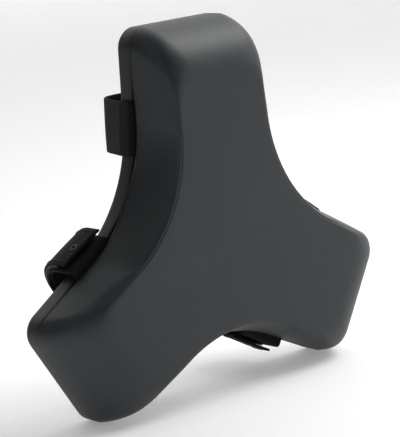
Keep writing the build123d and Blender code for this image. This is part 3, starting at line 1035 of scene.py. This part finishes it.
@dataclass
class Strap:
    """A webbing strap across the back of one arm, closed on the arm's clockwise side.

    It has an inner layer, which runs through the slot and ends under the closure, and an outer layer,
    which leaves the slot on the other side, passes behind the pad and laps over the inner one.
    """

    arm: Arm
    width: float = 37.6
    thickness: float = 1.9
    cad_thickness: float = 2.0
    slot_level: float = 14.4
    exit_bend: float = 1.8
    loop_bend: float = 24.0
    sag_bend_loss: float = 8.0
    closure_pitch: float = 4.3
    tab_reach: float = 24.0
    inner_end: float = 16.0
    outer_end: float = 15.4
    tail_end: float = 8.0
    tail_shift: float = -2.0
    tail_shift_from: float = -10.0
    tail_shift_over: float = 40.0
    tail_root: float = 18.0
    tail_bend_reach: float = 5.0
    sag_level: float = 3.0
    hug: float = 4.0
    hug_from: float = 38.0
    hug_over: float = 14.0
    bow: float = 0.35
    bow_set: float = 0.2
    spacing: float = 1.6
    stitch: Stitch = Stitch()
    stitch_margin: float = 3.4
    stitch_corner_gap: float = 1.2
    stitch_start_gap: float = 5.5
    tab_stitch_end: float = -1.5
    tail_stitch_gap: float = 2.5
    cross_row_points: int = 40

    def __post_init__(self) -> None:
        """Take the strap's place and reach from the top strap's box in the frame."""
        low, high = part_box("strap_top")
        self.side = high.x / MM - self.cad_thickness / 2
        self.depth = high.y / MM - self.cad_thickness / 2 - self.closure_pitch
        self.place = (low.z + high.z) / 2 / MM

    def inner_path(self) -> np.ndarray:
        """Middle of the inner layer: from its end under the closure, forwards, then through the slot."""
        corners = [(self.tab_reach, -self.depth), (self.side, -self.depth), (self.side, self.slot_level),
                   (-self.side + self.inner_end, self.slot_level)]
        return round_path(np.array(corners), np.array([self.loop_bend, self.exit_bend]), self.spacing)

    def outer_path(self) -> np.ndarray:
        """Middle of the outer layer: out of the slot, behind the pad and up over the inner layer."""
        side, outer = self.side + self.closure_pitch, self.depth + self.closure_pitch
        bend = self.loop_bend + self.closure_pitch
        corners = [(-self.side + self.outer_end, self.slot_level), (-self.side, self.slot_level),
                   (-self.side, self.sag_level), (-self.side + SAG[self.arm], -outer),
                   (side, -outer), (side, self.tail_end)]
        radii = [self.exit_bend, self.exit_bend, bend - self.sag_bend_loss, bend]
        return round_path(np.array(corners), np.array(radii), self.spacing)

    def band(self, name: str, path: np.ndarray, shift: np.ndarray) -> bpy.types.Object:
        """Carry the webbing's section along a path and close its ends.

        The surface is path(s) + normal(s) * rise(t), with side(t) across the band. The band dips by a
        fraction of a millimetre in its middle, so that it catches light as webbing does. On the side
        where it leaves the slot it hugs the arm, which narrows towards its end.

        Args:
            name: Name of the piece.
            path: Sideways place and level along the band, in millimetres.
            shift: How far each point of the path is moved along the arm.

        Returns:
            The new piece.
        """
        side, rise = band_section(self.width, self.thickness)
        count = len(side)
        dip = self.bow * (1 - (side / (self.width / 2)) ** 2) - self.bow_set
        profile = path[:, None, :] + path_normals(path)[:, None, :] * (rise + dip)[None, :, None]
        near_exit = np.clip((-path[:, 0] - self.hug_from) / self.hug_over, 0, 1)
        sideways = profile[..., 0] + self.hug * near_exit[:, None] * (side[None, :] / self.width + 0.5)
        along = self.place + side[None, :] + shift[:, None]
        points = np.stack([sideways, -profile[..., 1], along], axis=-1).reshape(-1, 3)
        uv = np.stack(np.broadcast_arrays(running_length(path)[:, None], side[None, :]), axis=-1) * MM
        # Each end is closed by quads between its two faces
        step = np.arange(count // 2 - 1)
        cap = np.stack([step, step + 1, count - 2 - step, count - 1 - step], axis=-1)
        faces = [grid_faces(len(path), count, wrap=True), cap, cap + (len(path) - 1) * count]
        turned = turn_to_arm(points * MM, self.arm)
        piece = new_mesh(name, turned, np.concatenate(faces), uv.reshape(-1, 2))
        merge_doubles(piece, 1e-6)
        return piece

    def build(self) -> None:
        """Build both layers, dress them and join the inner one to its body."""
        label = self.arm.label
        inner = self.inner_path()
        piece = self.band(f"strap_inner_{label}", inner, np.zeros(len(inner)))
        WEBBING.dress(piece)
        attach(piece, "pad")
        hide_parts(f"strap_{label}")
        outer = self.outer_path()
        lapped = np.clip((outer[:, 0] - self.tail_shift_from) / self.tail_shift_over, 0, 1)
        lapped = np.where(outer[:, 1] < 0, lapped, np.round(lapped))
        shift = self.tail_shift * lapped * lapped * (3 - 2 * lapped)
        piece = self.band(f"strap_outer_{label}", outer, shift)
        WEBBING.dress(piece)
        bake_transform(piece)
        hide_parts(f"strap_tail_{label}")
        LOG.info("strap %s: inner %d points, outer %d points", label, len(inner), len(outer))
        for layer in Layer:
            self.stitches(layer)

    def stitch_rows(self, layer: Layer) -> list[np.ndarray]:
        """Lay out the lines that one layer's stitches follow: its two edges and its ends.

        Args:
            layer: The layer that is sewn.

        Returns:
            Sideways place, level and place along the arm, for the points of each line.
        """
        tab = layer is Layer.TAB
        offset = -self.thickness / 2 if tab else self.closure_pitch + self.thickness / 2
        middle = self.place + (0.0 if tab else self.tail_shift)
        start = self.tab_reach + self.stitch_start_gap
        end = self.tab_stitch_end if tab else self.tail_end - self.tail_stitch_gap
        depth, side = self.depth + offset, self.side + offset
        corners = np.array([(start, -depth), (side, -depth), (side, end)])
        path = round_path(corners, np.array([self.loop_bend + offset]), self.spacing / 2)
        margin = self.width / 2 - self.stitch_margin
        rows = [np.column_stack([path, np.full(len(path), middle + edge)]) for edge in (-margin, margin)]
        reach, count = margin - self.stitch_corner_gap, self.cross_row_points
        across = middle + np.linspace(-reach, reach, count)
        rows.append(np.column_stack([np.tile([start, -depth], (count, 1)), across]))
        if not tab:
            rows.append(np.column_stack([np.tile([side, end], (count, 1)), across]))
        return rows

    def stitches(self, layer: Layer) -> None:
        """Sew one layer, as one piece that holds all its stitches.

        Args:
            layer: The layer to sew.
        """
        places = [self.stitch.places(row) for row in self.stitch_rows(layer)]
        where = np.concatenate([row_where for row_where, _ in places])
        heading = np.concatenate([row_heading for _, row_heading in places])
        rings = self.stitch.rings(where, heading, self.outward(where, layer))
        count, ring_count, sides = rings.shape[:3]
        first = np.arange(count)[:, None, None] * ring_count * sides
        faces = (grid_faces(ring_count, sides, wrap=True)[None] + first).reshape(-1, 4)
        points = rings.reshape(-1, 3) * np.array([1, -1, 1]) * MM
        piece = new_mesh(f"{layer.value}_stitches_{self.arm.label}", turn_to_arm(points, self.arm), faces)
        merge_doubles(piece, 1e-5)
        THREAD.dress(piece)
        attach(piece, "pad" if layer is Layer.TAB else f"tail_{self.arm.label}")
        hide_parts(f"{layer.value}_stitching_{self.arm.label}")
        LOG.info("%s stitches, %s: %d", layer.value, self.arm.label, count)

    def outward(self, where: np.ndarray, layer: Layer) -> np.ndarray:
        """Find the way out of the webbing: inwards on the inner layer, and outwards on the outer one.

        Args:
            where: Places on the layer: sideways, level and along the arm.
            layer: The layer that they are on.

        Returns:
            Unit vectors, one row each.
        """
        centre = np.array([self.side - self.loop_bend, -self.depth + self.loop_bend])
        away = where[:, :2] - centre
        away = np.where(where[:, :1] < centre[0], np.array([[0.0, -1.0]]), away)
        away = np.where(where[:, 1:2] > centre[1], np.array([[1.0, 0.0]]), away)
        away /= np.linalg.norm(away, axis=1, keepdims=True)
        sign = -1.0 if layer is Layer.TAB else 1.0
        return np.column_stack([away * sign, np.zeros(len(where))])


# Hardware and studio -----------------------------------------------------------------------------
@dataclass(frozen=True)
class Hardware:
    """The CAD pieces that stay as they are, by finish."""

    boards: tuple[str, ...] = ("insert_panel", "base_board")
    bright_steel: tuple[str, ...] = ("tee_nuts", "washers", "cover_staples", "base_staples", "strap_staples")
    dark_steel: tuple[str, ...] = ("screws",)
    plastic: tuple[str, ...] = ("spacers",)

    def build(self) -> None:
        """Give every CAD piece that stays its own finish."""
        finishes = {PLYWOOD: self.boards, ZINC_STEEL: self.bright_steel, BLACK_STEEL: self.dark_steel,
                    NYLON: self.plastic}
        for finish, nodes in finishes.items():
            for node in nodes:
                finish.dress(frame["nodes"][node])
        for node, finish in (("hook_patch", HOOK_TAPE), ("loop_patch", LOOP_TAPE), ("eyelet", BLACK_STEEL)):
            for arm in Arm:
                finish.dress(frame["nodes"][f"{node}_{arm.label}"])
        LOG.info("hardware: dressed for %d arms", len(Arm))


@dataclass(frozen=True)
class Lamp:
    """One square soft light, aimed at the pad's centre; metres and watts."""

    name: str
    place: tuple[float, float, float]
    size: float
    watts: float

    def hang(self) -> None:
        """Hang the light and aim it."""
        lamp = bpy.data.lights.new(self.name, "AREA")
        lamp.size, lamp.energy = self.size, self.watts
        hung = bpy.data.objects.new(self.name, lamp)
        hung.location = self.place
        hung.rotation_euler = (-Vector(self.place)).to_track_quat("-Z", "Y").to_euler()
        bpy.context.scene.collection.objects.link(hung)


LAMPS = (
    Lamp("key", (0.8, -0.6, 0.4), 0.6, 2.3),
    Lamp("overhead", (0.9, -0.3, 1.2), 1.0, 17.0),
    Lamp("fill", (-1.45, -0.7, 0.3), 1.0, 1.2),
    Lamp("edge", (-1.1, 0.0, 1.2), 1.0, 2.0),
)


@dataclass
class Studio:
    """Pale floor, soft lights and the camera; metres and degrees."""

    azimuth: float = -38.59
    elevation: float = 11.77
    roll: float = -5.95
    distance: float = 1.429
    lens: float = 164.9
    shift: tuple[float, float] = (0.0245, 0.0289)
    backdrop_distance: float = 4.0
    backdrop_size: float = 12.0
    backdrop_rise: float = 0.4
    room_glow: float = 0.02
    sensor: float = 36.0

    def floor(self) -> None:
        """Lay a wide pale floor just under the pad and hang a white backdrop far behind it."""
        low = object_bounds()[0]
        azimuth = math.radians(self.azimuth)
        away = Vector((-math.sin(azimuth), math.cos(azimuth), 0)) * self.backdrop_distance
        size = self.backdrop_size
        behind = (away.x, away.y, low.z + size * self.backdrop_rise)
        sheets = (("floor", (0, 0, low.z), 0.0, PALE_FLOOR), ("backdrop", behind, 90.0, BACKDROP))
        for name, place, tilt, finish in sheets:
            turn = (math.radians(tilt), 0, azimuth)
            bpy.ops.mesh.primitive_plane_add(size=size, location=place, rotation=turn)
            sheet = bpy.context.object
            sheet.name = name
            sheet.data.materials.append(finish.build())
            sheet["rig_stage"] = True

    def lights(self) -> None:
        """Hang the lights and set the room's soft glow."""
        for lamp in LAMPS:
            lamp.hang()
        world = bpy.data.worlds.new("room")
        world.use_nodes = True
        world.node_tree.nodes["Background"].inputs[0].default_value = (1, 1, 1, 1)
        world.node_tree.nodes["Background"].inputs[1].default_value = self.room_glow
        bpy.context.scene.world = world
        bpy.context.scene.view_settings.view_transform = "Standard"

    def camera(self) -> None:
        """Place the camera, turned about its own axis by the roll."""
        azimuth, elevation, roll = (math.radians(v) for v in (self.azimuth, self.elevation, self.roll))
        back = Vector((math.sin(azimuth) * math.cos(elevation), -math.cos(azimuth) * math.cos(elevation),
                       math.sin(elevation)))
        right = Vector((math.cos(azimuth), math.sin(azimuth), 0))
        up = back.cross(right)
        rolled_right = right * math.cos(roll) + up * math.sin(roll)
        rolled_up = up * math.cos(roll) - right * math.sin(roll)
        lens = bpy.data.cameras.new("camera")
        lens.lens, lens.sensor_width = self.lens, self.sensor
        lens.shift_x, lens.shift_y = self.shift
        camera = bpy.data.objects.new("camera", lens)
        axes = Matrix((rolled_right, rolled_up, back)).transposed().to_4x4()
        camera.matrix_world = Matrix.Translation(back * self.distance) @ axes
        bpy.context.scene.collection.objects.link(camera)
        bpy.context.scene.camera = camera

    def build(self) -> None:
        """Build the floor, lights and camera."""
        self.floor()
        self.lights()
        self.camera()


def main() -> None:
    """Build every piece in order."""
    Cushion().build()
    Base().build()
    for arm in Arm:
        Strap(arm).build()
    Hardware().build()
    Studio().build()


if __name__ == "__main__":
    logging.basicConfig(level=logging.INFO)
    main()
